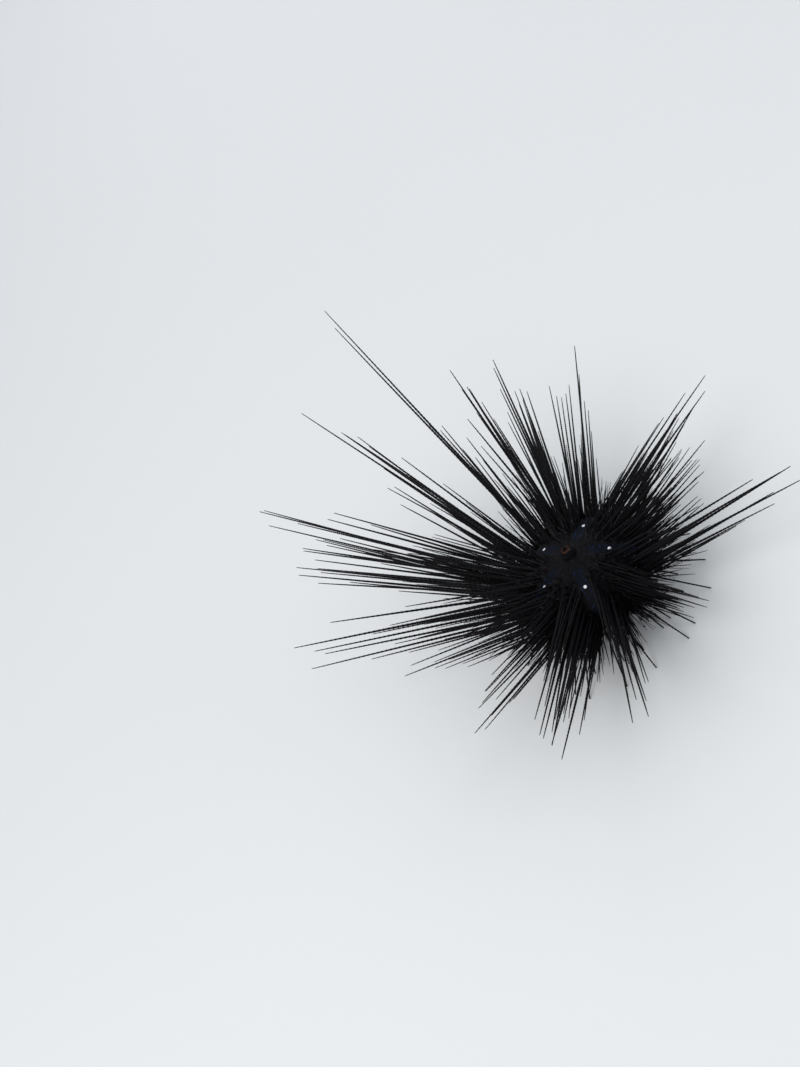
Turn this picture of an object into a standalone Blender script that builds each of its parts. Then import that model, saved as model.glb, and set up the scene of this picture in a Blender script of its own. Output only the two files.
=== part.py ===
"""Long-spined sea urchin, life size, standing on its lower spines.

Lengths are in metres and angles in degrees. The animal's axis is +Z with the mouth down, and the floor
is z = 0. The body is an oblate test in ten sectors, five wide interambulacra and five narrow ambulacra,
round an apical disc above and a peristome below. Each sector carries its own spines.

A place on the test is given by two angles: polar, from the crown (0) over the widest level (90) to the
mouth (180), and azimuth, from +X towards +Y. The front of the model looks along -Y.
"""

import math

import bmesh
import bpy
import numpy as np
from mathutils import Matrix, Vector

# The test, a rounded bun that is widest a little below its middle
TEST_RADIUS = 0.038
WIDEST_LEVEL = 0.033
CROWN_RISE = 0.022
BASE_DROP = 0.017
APICAL_RADIUS = 0.011
APICAL_DEPTH = 0.006
PERISTOME_RADIUS = 0.017
PERISTOME_DEPTH = 0.006
PERISTOME_FOLDS = ((0.0135, 0.0010), (0.0085, 0.0006))
CONE_SEAT_RADIUS = 0.0052
CONE_SEAT_DEPTH = 0.003
GAP = 0.0003
STEPS_ROUND = 40
MOUTH_STEPS_ROUND = 20
DISC_STEPS_ROUND = 24
CONE_STEPS_ROUND = 20
OUTLINE_STEPS = 13

# Sectors: name, middle azimuth, and the two bundles of long spines, one from each side. A bundle is the
# azimuth it points to, its degrees above the horizontal, and how far from the axis its longest spines reach.
# Before them stand how many times that far the focus lies to which the bundle's spines lean, and how much
# their headings vary.
INTERAMBULACRUM_WIDTH = 45.0
AMBULACRUM_WIDTH = 27.0
FIRST_FACET = 19.5
SECTORS = (
    ("interambulacrum_1", 42.0, 3.0, 3.2, ((15.5, 8.0, 0.138), (55.0, 22.0, 0.146))),
    ("ambulacrum_1", 78.0, 3.5, 3.2, ((69.0, 24.0, 0.172), (83.0, 24.0, 0.176))),
    ("interambulacrum_2", 114.0, 3.6, 2.0, ((89.0, 21.0, 0.142), (105.5, 22.0, 0.212))),
    ("ambulacrum_2", 150.0, 3.0, 1.2, ((128.0, 21.0, 0.218), (135.5, 18.0, 0.208))),
    ("interambulacrum_3", 186.0, 1.8, 1.1, ((162.0, 20.0, 0.178), (174.5, 18.0, 0.128))),
    ("ambulacrum_3", 222.0, 1.5, 1.1, ((212.0, 19.0, 0.134), (239.5, 17.0, 0.144))),
    ("interambulacrum_4", 258.0, 1.5, 1.1, ((238.5, 16.0, 0.146), (257.0, 15.0, 0.146))),
    ("ambulacrum_4", 294.0, 1.6, 1.1, ((290.0, 12.0, 0.103), (290.5, 14.0, 0.113))),
    ("interambulacrum_5", 330.0, 1.25, 0.9, ((329.0, 16.0, 0.144), (341.5, 18.0, 0.102))),
    ("ambulacrum_5", 6.0, 1.8, 1.4, ((-6.5, 20.0, 0.115), (5.5, 20.0, 0.120))),
)

# A few spines far longer than the rest: sector, azimuth on the test, polar angle, heading, lift and reach
LONGEST_SPINES = (
    (2, 105.0, 62.0, 93.2, 24.0, 0.234),
    (2, 104.5, 69.0, 94.0, 22.2, 0.229),
)

# Columns of spines in one half of a sector: degrees off the middle at the crown and at the widest
# level, first and last polar angle, number of spines, and their share of the sector's reach
INTERAMBULACRUM_COLUMNS = (
    (15.0, 9.0, 33.0, 113.0, 9, 1.0),
    (18.0, 17.0, 62.0, 107.0, 4, 0.80),
)
AMBULACRUM_COLUMNS = (
    (6.0, 5.0, 31.0, 112.0, 8, 0.94),
    (2.0, 1.6, 48.0, 96.0, 5, 0.88),
)

# How much a long spine keeps to the test's normal. Then how much places and lifts vary, and the shortest
# spine's share of its length.
LOOSENESS = 0.12
PLACE_SPREAD = 1.5
LIFT_SPREAD = 1.2
SHORTEST_SHARE = 0.74

# A spine's share of the reach at these polar angles
REACH_POLAR = (30.0, 45.0, 60.0, 75.0, 90.0, 105.0, 113.0)
REACH_SHARE = (0.46, 0.76, 0.97, 1.0, 1.0, 0.92, 0.80)

# Short spines under the body, whose tips carry it
FOOT_POLAR = (122.0, 133.0, 144.0)
FOOT_LIFT = (-38.0, -50.0, -64.0)
FOOT_FAN = 8.0
FOOT_SPLAY = 1.3
FOOT_HEADING_SPREAD = 1.0
FOOT_LIFT_SPREAD = 2.0

# Short spines between the long ones, in rows at these polar angles: degrees off the middle, mean length, and
# how much the places, ways and lengths vary
SHORT_POLAR = (44.0, 57.0, 70.0, 83.0, 96.0, 109.0)
SHORT_FAN = 4.5
SHORT_LENGTH = 0.023
SHORT_PLACE_SPREAD = 1.5
SHORT_LIFT_SPREAD = 4.0
SHORT_LENGTH_SPREAD = 0.25
SHORT_ROOT_RADIUS = 0.0006
SHORT_TIP_RADIUS = 0.00028
SHORT_SIDES = 4

# One spine: a straight taper, with its root sunk into the test
SPINE_SIDES = 5
ROOT_RADIUS = 0.00095
TIP_RADIUS = 0.00026
FOOT_RADIUS = 0.0009
FOOT_TIP_RADIUS = 0.0005
ROOT_SUNK = 0.0035
FLOOR_CLEARANCE = 0.0006
BELOW_FLOOR = 0.004
SEED = 7

# The mouth below and the vent above. Levels of the mouth parts are rises above the peristome's rim.
LIP_OUTLINE = ((0.0060, -0.0012), (0.0048, -0.0015), (0.0036, -0.0008))
MOUTH_RADIUS = 0.0029
MOUTH_ROOF = 0.0022
TOOTH_RING_RADIUS = 0.0036
TOOTH_ROOT_RISE = 0.0030
TOOTH_LENGTH = 0.0075
TOOTH_RADIUS = 0.0012
TOOTH_LEAN = 19.0
GILL_RING_RADIUS = 0.0148
GILL_LENGTH = 0.0042
GILL_RADIUS = 0.0007
GILL_FILAMENTS = (-26.0, 0.0, 26.0)
GILL_PAIR = 16.0
GILL_ROOT_FAN = 0.12
GILL_LIFT = -52.0
GILL_ROOT_RISE = 0.0012
BRANCH_TIP_RADIUS = 0.0003
BUCCAL_FOOT_RING = 0.0096
BUCCAL_FOOT_LENGTH = 0.0034
BUCCAL_FOOT_RADIUS = 0.0008
BUCCAL_FOOT_PAIR = 9.0
BUCCAL_FOOT_LIFT = -72.0
BUCCAL_FOOT_RISE = 0.0018
CONE_RADIUS = 0.0049
CONE_HEIGHT = 0.0094
VENT_RADIUS = 0.0015
VENT_FLOOR_RADIUS = 0.0009
VENT_DEPTH = 0.0012

CUTTER_REACH = 0.06


def clear_scene():
    for obj in list(bpy.data.objects):
        bpy.data.objects.remove(obj, do_unlink=True)


def new_collection(name):
    collection = bpy.data.collections.new(name)
    bpy.context.scene.collection.children.link(collection)
    return collection


def finish(name, colour, roughness):
    """A Principled material of one colour for a kind of part."""
    material = bpy.data.materials.new(name)
    material.use_nodes = True
    shader = material.node_tree.nodes["Principled BSDF"]
    shader.inputs["Base Color"].default_value = (*colour, 1.0)
    shader.inputs["Roughness"].default_value = roughness
    shader.inputs["Metallic"].default_value = 0.0
    return material


def new_object(name, mesh, collection):
    obj = bpy.data.objects.new(name, mesh)
    collection.objects.link(obj)
    return obj


def test_point(polar, azimuth):
    """The place on the test's surface at these two angles."""
    p, a = math.radians(polar), math.radians(azimuth)
    height = CROWN_RISE if polar < 90 else BASE_DROP
    radius = TEST_RADIUS * math.sin(p)
    return Vector((radius * math.cos(a), radius * math.sin(a), WIDEST_LEVEL + height * math.cos(p)))


def test_level(radius, above):
    """The height of the test's surface at this distance from the axis, above or below its widest level."""
    rise = CROWN_RISE if above else -BASE_DROP
    return WIDEST_LEVEL + rise * math.sqrt(1 - (radius / TEST_RADIUS) ** 2)


def normal_lift(polar):
    """How far above the horizontal the test's surface faces here."""
    p = math.radians(polar)
    height = CROWN_RISE if polar < 90 else BASE_DROP
    return math.degrees(math.atan2(math.cos(p) / height, math.sin(p) / TEST_RADIUS))


def polar_at(radius, above):
    angle = math.degrees(math.asin(radius / TEST_RADIUS))
    return angle if above else 180 - angle


def aim(azimuth, lift):
    """The unit vector at this azimuth and this many degrees above the horizontal."""
    a, e = math.radians(azimuth), math.radians(lift)
    return Vector((math.cos(e) * math.cos(a), math.cos(e) * math.sin(a), math.sin(e)))


def turned(name, outline, steps, collection):
    """A solid of revolution about +Z, from an outline that runs from the axis at its top to the axis below."""
    mesh = bpy.data.meshes.new(name)
    a = math.radians(FIRST_FACET)
    points = [(r * math.cos(a), r * math.sin(a), z) for r, z in outline]
    mesh.from_pydata(points, [(i, i + 1) for i in range(len(points) - 1)], [])
    obj = new_object(name, mesh, collection)
    screw = obj.modifiers.new("Turn", "SCREW")
    screw.axis = "Z"
    screw.steps = steps
    screw.render_steps = steps
    screw.use_merge_vertices = True
    screw.merge_threshold = 0.00001
    return obj


def apply_modifiers(obj):
    """Replaces the object's mesh by the evaluated one, facing out."""
    bpy.context.view_layer.update()
    graph = bpy.context.evaluated_depsgraph_get()
    mesh = bpy.data.meshes.new_from_object(obj.evaluated_get(graph))
    obj.modifiers.clear()
    obj.data = mesh
    shape = bmesh.new()
    shape.from_mesh(mesh)
    bmesh.ops.remove_doubles(shape, verts=shape.verts, dist=0.000002)
    bmesh.ops.recalc_face_normals(shape, faces=shape.faces)
    shape.to_mesh(mesh)
    shape.free()
    return obj


def taper(name, root, direction, length, radii, sides, collection):
    """A straight, closed taper from root, along direction, with the radii at its root and at its tip."""
    mesh = bpy.data.meshes.new(name)
    shape = bmesh.new()
    stand = direction.to_track_quat("Z", "Y").to_matrix().to_4x4()
    place = Matrix.Translation(root) @ stand @ Matrix.Translation((0, 0, length / 2))
    bmesh.ops.create_cone(
        shape, cap_ends=True, segments=sides, radius1=radii[0], radius2=radii[1], depth=length, matrix=place
    )
    shape.to_mesh(mesh)
    shape.free()
    return new_object(name, mesh, collection)


def keep_largest(obj):
    """Drops every loose surface but the one with the most room inside it."""
    shape = bmesh.new()
    shape.from_mesh(obj.data)
    bmesh.ops.remove_doubles(shape, verts=shape.verts, dist=0.000001)
    waiting = set(shape.faces)
    islands = []
    while waiting:
        start = waiting.pop()
        island, edge_of_search = [start], [start]
        while edge_of_search:
            face = edge_of_search.pop()
            for edge in face.edges:
                for other in edge.link_faces:
                    if other in waiting:
                        waiting.remove(other)
                        island.append(other)
                        edge_of_search.append(other)
        islands.append(island)

    def room(island):
        total = 0.0
        for face in island:
            corners = [v.co for v in face.verts]
            for b, c in zip(corners[1:], corners[2:]):
                total += corners[0].dot(b.cross(c))
        return total

    islands.sort(key=room)
    loose = [face for island in islands[:-1] for face in island]
    bmesh.ops.delete(shape, geom=loose, context="FACES")
    shape.to_mesh(obj.data)
    shape.free()


def boolean(obj, operation, operand):
    """Joins the operand to obj or cuts obj with it. The operand is an object or a collection."""
    modifier = obj.modifiers.new(operation.title(), "BOOLEAN")
    modifier.operation = operation
    modifier.solver = "EXACT"
    if isinstance(operand, bpy.types.Collection):
        modifier.operand_type = "COLLECTION"
        modifier.collection = operand
    else:
        modifier.object = operand
    bpy.context.view_layer.update()
    graph = bpy.context.evaluated_depsgraph_get()
    mesh = bpy.data.meshes.new_from_object(obj.evaluated_get(graph))
    obj.modifiers.clear()
    obj.data = mesh


def join_forms(obj, forms):
    """Fuses the objects of the forms collection into obj, and removes them."""
    boolean(obj, "UNION", forms)
    for form in list(forms.objects):
        bpy.data.objects.remove(form, do_unlink=True)
    bpy.data.collections.remove(forms)


def whole_test(cutters):
    """The test in one piece, with round seats for the apical disc above and the peristome below."""
    first = polar_at(APICAL_RADIUS + GAP, True)
    last = polar_at(PERISTOME_RADIUS + GAP, False)
    outline = [(0.0, WIDEST_LEVEL + CROWN_RISE - APICAL_DEPTH)]
    outline.append((APICAL_RADIUS + GAP, outline[0][1]))
    for i in range(OUTLINE_STEPS + 1):
        place = test_point(first + (last - first) * i / OUTLINE_STEPS, 0.0)
        outline.append((place.x, place.z))
    floor_of_seat = WIDEST_LEVEL - BASE_DROP + PERISTOME_DEPTH
    outline.append((PERISTOME_RADIUS + GAP, floor_of_seat))
    outline.append((0.0, floor_of_seat))
    test = apply_modifiers(turned("whole_test", outline, STEPS_ROUND, cutters))
    test.hide_render = True
    test.display_type = "WIRE"
    return test


def wedge(name, middle, width, cutters):
    """A prism as wide as one sector, its two side planes drawn in by half a gap."""
    mesh = bpy.data.meshes.new(name)
    shape = bmesh.new()
    half = math.radians(width / 2)
    start = Vector((GAP / 2 / math.sin(half), 0.0, 0.0))
    far = CUTTER_REACH / math.cos(half)
    corners = [start]
    for side in (-1, 1):
        corners.append(start + Vector((far * math.cos(half), side * far * math.sin(half), 0.0)))
    turn = Matrix.Rotation(math.radians(middle), 3, "Z")
    face = shape.faces.new([shape.verts.new(turn @ (c - Vector((0, 0, GAP)))) for c in corners])
    risen = bmesh.ops.extrude_face_region(shape, geom=[face])
    lifted = [v for v in risen["geom"] if isinstance(v, bmesh.types.BMVert)]
    bmesh.ops.translate(shape, verts=lifted, vec=(0, 0, 2 * CUTTER_REACH))
    bmesh.ops.recalc_face_normals(shape, faces=shape.faces)
    shape.to_mesh(mesh)
    shape.free()
    cutter = new_object(name, mesh, cutters)
    cutter.hide_render = True
    cutter.display_type = "WIRE"
    return cutter


def floor_slab(cutters):
    """A slab whose top is the floor, which trims the spines that stand on it to small flats."""
    mesh = bpy.data.meshes.new("floor_slab")
    shape = bmesh.new()
    size = Matrix.Diagonal((8 * CUTTER_REACH, 8 * CUTTER_REACH, CUTTER_REACH, 1.0))
    bmesh.ops.create_cube(shape, size=1.0, matrix=Matrix.Translation((0, 0, -CUTTER_REACH / 2)) @ size)
    shape.to_mesh(mesh)
    shape.free()
    slab = new_object("floor_slab", mesh, cutters)
    slab.hide_render = True
    slab.display_type = "WIRE"
    return slab


def column_places(columns, draw):
    """Yields polar angle, degrees off the sector's middle and share of the reach for one side's spines."""
    for at_crown, at_widest, first, last, count, share in columns:
        for i in range(count):
            polar = first + (last - first) * i / (count - 1) + draw.uniform(-PLACE_SPREAD, PLACE_SPREAD)
            off = np.interp(polar, (first, 90.0), (at_crown, at_widest))
            yield polar, off, share


def long_spine(place, heading, lift, reach, name, forms):
    """One long spine from a place on the test, to this distance from the axis, kept above the floor."""
    direction = aim(heading, lift)
    root = test_point(*place)
    length = (reach - root.xy.length) / math.cos(math.radians(lift))
    if direction.z < 0:
        length = min(length, (root.z - FLOOR_CLEARANCE) / -direction.z)
    radii = (ROOT_RADIUS, TIP_RADIUS)
    start = root - direction * ROOT_SUNK
    taper(name + "_spine", start, direction, length + ROOT_SUNK, radii, SPINE_SIDES, forms)


def bundle_focus(heading, lift, reach, times):
    """The place beyond a bundle's tips that its spines lean to, so many times its reach from the axis."""
    away = reach * times / math.cos(math.radians(lift))
    return aim(heading, lift) * away + Vector((0, 0, WIDEST_LEVEL))


def bundled(place, focus):
    """Azimuth and degrees above the horizontal of a spine that leans from its place to a bundle's focus."""
    polar, azimuth = place
    way = (focus - test_point(*place)).normalized().lerp(aim(azimuth, normal_lift(polar)), LOOSENESS)
    return math.degrees(math.atan2(way.y, way.x)), math.degrees(math.atan2(way.z, way.xy.length))


def long_spines(sector, columns, draw, forms):
    """The long spines of one sector: each side's columns gather into one bundle."""
    name, middle, times, spread, bundles = sector
    for side, (towards, bundle_lift, reach) in zip((-1, 1), bundles):
        focus = bundle_focus(towards, bundle_lift, reach, times)
        for polar, off, share in column_places(columns, draw):
            place = (polar, middle + side * off)
            heading, lift = bundled(place, focus)
            heading += draw.normal(0, spread)
            lift += draw.normal(0, LIFT_SPREAD)
            span = reach * share * np.interp(polar, REACH_POLAR, REACH_SHARE)
            span *= draw.uniform(SHORTEST_SHARE, 1.0)
            long_spine(place, heading, lift, span, name, forms)


def foot_spines(sector, width, draw, forms):
    """The short spines below, run a little past the floor, which the slab then trims."""
    name, middle = sector[:2]
    wide = width > AMBULACRUM_WIDTH
    for polar, lift in zip(FOOT_POLAR, FOOT_LIFT):
        for side in (-1, 1):
            off = side * (FOOT_FAN if wide else FOOT_FAN / 2)
            heading = middle + off * FOOT_SPLAY + draw.normal(0, FOOT_HEADING_SPREAD)
            direction = aim(heading, lift + draw.normal(0, FOOT_LIFT_SPREAD))
            place = test_point(polar, middle + off)
            length = (place.z + BELOW_FLOOR) / -direction.z
            root = place - direction * ROOT_SUNK
            radii = (FOOT_RADIUS, FOOT_TIP_RADIUS)
            taper(name + "_foot", root, direction, length + ROOT_SUNK, radii, SPINE_SIDES, forms)


def short_spines(sector, width, draw, forms):
    """The short spines of one sector, square to the test: two to a row, or one in a narrow sector."""
    name, middle = sector[:2]
    offs = (-SHORT_FAN, SHORT_FAN) if width > AMBULACRUM_WIDTH else (0.0,)
    for polar in SHORT_POLAR:
        for off in offs:
            azimuth = middle + off + draw.uniform(-SHORT_PLACE_SPREAD, SHORT_PLACE_SPREAD)
            direction = aim(azimuth, normal_lift(polar) + draw.normal(0, SHORT_LIFT_SPREAD))
            place = test_point(polar + draw.uniform(-SHORT_PLACE_SPREAD, SHORT_PLACE_SPREAD), azimuth)
            length = SHORT_LENGTH * (1 + draw.uniform(-SHORT_LENGTH_SPREAD, SHORT_LENGTH_SPREAD))
            if direction.z < 0:
                length = min(length, (place.z - FLOOR_CLEARANCE) / -direction.z)
            root = place - direction * ROOT_SUNK
            radii = (SHORT_ROOT_RADIUS, SHORT_TIP_RADIUS)
            taper(name + "_short", root, direction, length + ROOT_SUNK, radii, SHORT_SIDES, forms)


def build_sector(sector, number, test, slab, nodes, cutters, skin):
    """One sector of the test with its spines, in one closed body."""
    name, middle = sector[:2]
    wide = name.startswith("inter")
    width = INTERAMBULACRUM_WIDTH if wide else AMBULACRUM_WIDTH
    body = new_object(name, test.data.copy(), nodes)
    boolean(body, "INTERSECT", wedge(name + "_wedge", middle, width, cutters))
    draw = np.random.default_rng(SEED + number)
    forms = new_collection(name + "_spines")
    columns = INTERAMBULACRUM_COLUMNS if wide else AMBULACRUM_COLUMNS
    long_spines(sector, columns, draw, forms)
    for owner, azimuth, polar, heading, lift, reach in LONGEST_SPINES:
        if owner == number:
            long_spine((polar, azimuth), heading, lift, reach, name, forms)
    foot_spines(sector, width, draw, forms)
    short_spines(sector, width, draw, forms)
    join_forms(body, forms)
    boolean(body, "DIFFERENCE", slab)
    keep_largest(body)
    body.data.materials.clear()
    body.data.materials.append(skin)
    return body


def build_apical_disc(nodes, skin):
    """The ring of plates round the vent: a turned plug with a seat for the anal cone."""
    top = WIDEST_LEVEL + CROWN_RISE
    under = top - APICAL_DEPTH + GAP
    seat = top - CONE_SEAT_DEPTH
    outline = [(0.0, seat), (CONE_SEAT_RADIUS, seat)]
    for radius in np.linspace(CONE_SEAT_RADIUS, APICAL_RADIUS, 4):
        outline.append((radius, test_level(radius, True)))
    outline += [(APICAL_RADIUS, under), (0.0, under)]
    disc = apply_modifiers(turned("apical_disc", outline, DISC_STEPS_ROUND, nodes))
    disc.data.materials.append(skin)
    return disc


def build_anal_cone(nodes, skin):
    """The swollen sac over the vent, half an ellipse in outline, with the vent as a small pit at its top."""
    seat = WIDEST_LEVEL + CROWN_RISE - CONE_SEAT_DEPTH + GAP
    lip = math.asin(VENT_RADIUS / CONE_RADIUS)
    outline = [(0.0, seat + CONE_HEIGHT * math.cos(lip) - VENT_DEPTH)]
    outline.append((VENT_FLOOR_RADIUS, outline[0][1]))
    for angle in np.linspace(lip, math.pi / 2, 7):
        outline.append((CONE_RADIUS * math.sin(angle), seat + CONE_HEIGHT * math.cos(angle)))
    outline.append((0.0, seat))
    cone = apply_modifiers(turned("anal_cone", outline, CONE_STEPS_ROUND, nodes))
    cone.data.materials.append(skin)
    return cone


def at_rim(radius, azimuth, rise):
    """A point of the mouth at this distance from the axis and this far above the peristome's rim."""
    return aim(azimuth, 0) * radius + Vector((0, 0, test_level(PERISTOME_RADIUS, False) + rise))


def build_peristome(nodes, skin, slab):
    """The mouth skin below, with its lips, five teeth, ten soft feet and ten branching gills."""
    rim = test_level(PERISTOME_RADIUS, False)
    above = WIDEST_LEVEL - BASE_DROP + PERISTOME_DEPTH - GAP
    outline = [(0.0, above), (PERISTOME_RADIUS, above), (PERISTOME_RADIUS, rim)]
    outline += [(radius, rim + rise) for radius, rise in PERISTOME_FOLDS + LIP_OUTLINE]
    outline += [(MOUTH_RADIUS, rim + MOUTH_ROOF), (0.0, rim + MOUTH_ROOF)]
    mouth = apply_modifiers(turned("peristome", outline, MOUTH_STEPS_ROUND, nodes))
    forms = new_collection("mouth_forms")
    for i in range(5):
        middle = SECTORS[0][1] + 72.0 * i
        inward = aim(middle + 180, TOOTH_LEAN - 90)
        root = at_rim(TOOTH_RING_RADIUS, middle, TOOTH_ROOT_RISE)
        taper("tooth", root, inward, TOOTH_LENGTH, (TOOTH_RADIUS, BRANCH_TIP_RADIUS), 4, forms)
        for side in (-1, 1):
            azimuth = middle + side * GILL_PAIR
            for turn in GILL_FILAMENTS:
                root = at_rim(GILL_RING_RADIUS, azimuth + turn * GILL_ROOT_FAN, GILL_ROOT_RISE)
                out = aim(azimuth + turn, GILL_LIFT)
                taper("gill", root, out, GILL_LENGTH, (GILL_RADIUS, BRANCH_TIP_RADIUS), 4, forms)
            azimuth = middle + 36.0 + side * BUCCAL_FOOT_PAIR
            root = at_rim(BUCCAL_FOOT_RING, azimuth, BUCCAL_FOOT_RISE)
            radii = (BUCCAL_FOOT_RADIUS, BUCCAL_FOOT_RADIUS * 1.2)
            taper("buccal_foot", root, aim(azimuth, BUCCAL_FOOT_LIFT), BUCCAL_FOOT_LENGTH, radii, 6, forms)
    join_forms(mouth, forms)
    boolean(mouth, "DIFFERENCE", slab)
    keep_largest(mouth)
    mouth.data.materials.clear()
    mouth.data.materials.append(skin)
    return mouth


def centre_on_footprint(parts):
    """Slides every part alike, so that the middle of the whole animal's box stands over the origin."""
    bpy.context.view_layer.update()
    corners = np.array([v.co for part in parts for v in part.data.vertices])
    middle = (corners.min(0) + corners.max(0)) / 2
    for part in parts:
        part.location = (-middle[0], -middle[1], 0.0)


def main():
    clear_scene()
    nodes = new_collection("sea_urchin")
    cutters = new_collection("cutters")
    spine_skin = finish("black_spines", (0.012, 0.011, 0.015), 0.38)
    body_skin = finish("black_skin", (0.010, 0.010, 0.014), 0.50)
    mouth_skin = finish("mouth_skin", (0.050, 0.030, 0.028), 0.55)
    test = whole_test(cutters)
    slab = floor_slab(cutters)
    parts = [
        build_sector(sector, number, test, slab, nodes, cutters, spine_skin)
        for number, sector in enumerate(SECTORS)
    ]
    parts.append(build_apical_disc(nodes, body_skin))
    parts.append(build_anal_cone(nodes, body_skin))
    parts.append(build_peristome(nodes, mouth_skin, slab))
    centre_on_footprint(parts)


main()
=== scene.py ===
"""Long-spined sea urchin, life size: skin, spines, tube feet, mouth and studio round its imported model.

Lengths are in metres and angles in degrees. The animal's axis is vertical with the mouth down. A place on
the test is a polar angle, from the crown (0) over the widest level (90) to the mouth (180), and an azimuth,
from +X towards +Y.
"""

import math

import bpy
import numpy as np
from mathutils import Matrix, Vector


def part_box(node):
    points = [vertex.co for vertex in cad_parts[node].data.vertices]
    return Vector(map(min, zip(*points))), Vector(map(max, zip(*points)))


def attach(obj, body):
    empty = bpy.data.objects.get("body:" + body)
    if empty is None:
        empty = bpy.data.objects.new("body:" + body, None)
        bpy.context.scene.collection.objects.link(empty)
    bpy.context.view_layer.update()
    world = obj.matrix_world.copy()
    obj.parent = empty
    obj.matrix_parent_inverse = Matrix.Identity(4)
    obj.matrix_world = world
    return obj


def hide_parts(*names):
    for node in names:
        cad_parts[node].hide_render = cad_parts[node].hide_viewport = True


bl_info = {
    "name": "Long-spined sea urchin",
    "version": (1, 0, 0),
    "blender": (4, 5, 0),
    "location": "3D View > Sidebar > Urchin",
    "description": "Dresses the packed sea urchin with skin, spines and a plain studio",
    "category": "Add Mesh",
}

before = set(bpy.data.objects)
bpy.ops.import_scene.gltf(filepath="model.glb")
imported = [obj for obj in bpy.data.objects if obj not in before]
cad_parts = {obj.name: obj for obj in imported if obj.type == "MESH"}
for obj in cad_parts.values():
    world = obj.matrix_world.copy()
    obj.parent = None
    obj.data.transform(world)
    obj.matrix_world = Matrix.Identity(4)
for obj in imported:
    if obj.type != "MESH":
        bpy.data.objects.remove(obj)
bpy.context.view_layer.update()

# Where the animal's axis stands, and its round pieces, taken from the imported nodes
CONE_LOW, CONE_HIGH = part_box("anal_cone")
AXIS = np.array(((CONE_LOW.x + CONE_HIGH.x) / 2, (CONE_LOW.y + CONE_HIGH.y) / 2, 0.0))
CONE_TOP = CONE_HIGH.z
CONE_RADIUS = (CONE_HIGH.y - CONE_LOW.y) / 2
CROWN_LEVEL = 0.055

# The test, as in the solids
TEST_RADIUS = 0.038
WIDEST_LEVEL = 0.033
CROWN_RISE = 0.022
BASE_DROP = 0.017
PERISTOME_RADIUS = 0.017
INTERAMBULACRUM_WIDTH = 45.0

# Sectors, as in the solids: name, middle azimuth, how many times a bundle's reach its spines' focus lies
# away, how much their headings vary, and two bundles of long spines: azimuth, degrees above the horizontal
# and reach
SECTORS = (
    ("interambulacrum_1", 42.0, 3.0, 3.2, ((15.5, 8.0, 0.138), (55.0, 22.0, 0.146))),
    ("ambulacrum_1", 78.0, 3.5, 3.2, ((69.0, 24.0, 0.172), (83.0, 24.0, 0.176))),
    ("interambulacrum_2", 114.0, 3.6, 2.0, ((89.0, 21.0, 0.142), (105.5, 22.0, 0.212))),
    ("ambulacrum_2", 150.0, 3.0, 1.2, ((128.0, 21.0, 0.218), (135.5, 18.0, 0.208))),
    ("interambulacrum_3", 186.0, 1.8, 1.1, ((162.0, 20.0, 0.178), (174.5, 18.0, 0.128))),
    ("ambulacrum_3", 222.0, 1.5, 1.1, ((212.0, 19.0, 0.134), (239.5, 17.0, 0.144))),
    ("interambulacrum_4", 258.0, 1.5, 1.1, ((238.5, 16.0, 0.146), (257.0, 15.0, 0.146))),
    ("ambulacrum_4", 294.0, 1.6, 1.1, ((290.0, 12.0, 0.103), (290.5, 14.0, 0.113))),
    ("interambulacrum_5", 330.0, 1.25, 0.9, ((329.0, 16.0, 0.144), (341.5, 18.0, 0.102))),
    ("ambulacrum_5", 6.0, 1.8, 1.4, ((-6.5, 20.0, 0.115), (5.5, 20.0, 0.120))),
)

# Each bundle, two to a sector, with its sector's distance of the focus
BUNDLES = [(bundle, sector[2]) for sector in SECTORS for bundle in sector[4]]

# A few spines far longer than the rest: sector, azimuth on the test, polar angle, heading, lift and reach
LONGEST_SPINES = (
    (2, 105.0, 62.0, 93.2, 24.0, 0.234),
    (2, 104.5, 69.0, 94.0, 22.2, 0.229),
)

# Columns of spines in one half of a sector: degrees off the middle at the crown and at the widest level,
# first and last polar angle, number of spines, and their share of the reach
INTERAMBULACRUM_COLUMNS = (
    (15.0, 9.0, 33.0, 113.0, 9, 1.0),
    (18.0, 17.0, 62.0, 107.0, 4, 0.80),
)
AMBULACRUM_COLUMNS = (
    (6.0, 5.0, 31.0, 112.0, 8, 0.94),
    (2.0, 1.6, 48.0, 96.0, 5, 0.88),
)

# How much a long spine keeps to the test's normal, how much places and lifts vary, the shortest spine's
# share of its length, and a spine's share of the reach at these polar angles
LOOSENESS = 0.12
PLACE_SPREAD = 1.5
LIFT_SPREAD = 1.2
SHORTEST_SHARE = 0.74
REACH_POLAR = (30.0, 45.0, 60.0, 75.0, 90.0, 105.0, 113.0)
REACH_SHARE = (0.46, 0.76, 0.97, 1.0, 1.0, 0.92, 0.80)

# Short spines under the body, whose tips carry it
FOOT_POLAR = (122.0, 133.0, 144.0)
FOOT_LIFT = (-38.0, -50.0, -64.0)
FOOT_FAN = 8.0
FOOT_SPLAY = 1.3
FOOT_HEADING_SPREAD = 1.0
FOOT_LIFT_SPREAD = 2.0
FLOOR_CLEARANCE = 0.0006
FOOT_TIP_LEVEL = 0.0005

# The photograph's frame in pixels, where the middle of the body stands in it, and how it lies there
PHOTO_SIZE = (800, 1067)
BODY_PIXEL = (583.0, 571.0)
FOCAL_PIXELS = 1710.0
BODY_LEVEL = 0.037
AXIS_LEAN = 130.0
SENSOR = 36.0

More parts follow.
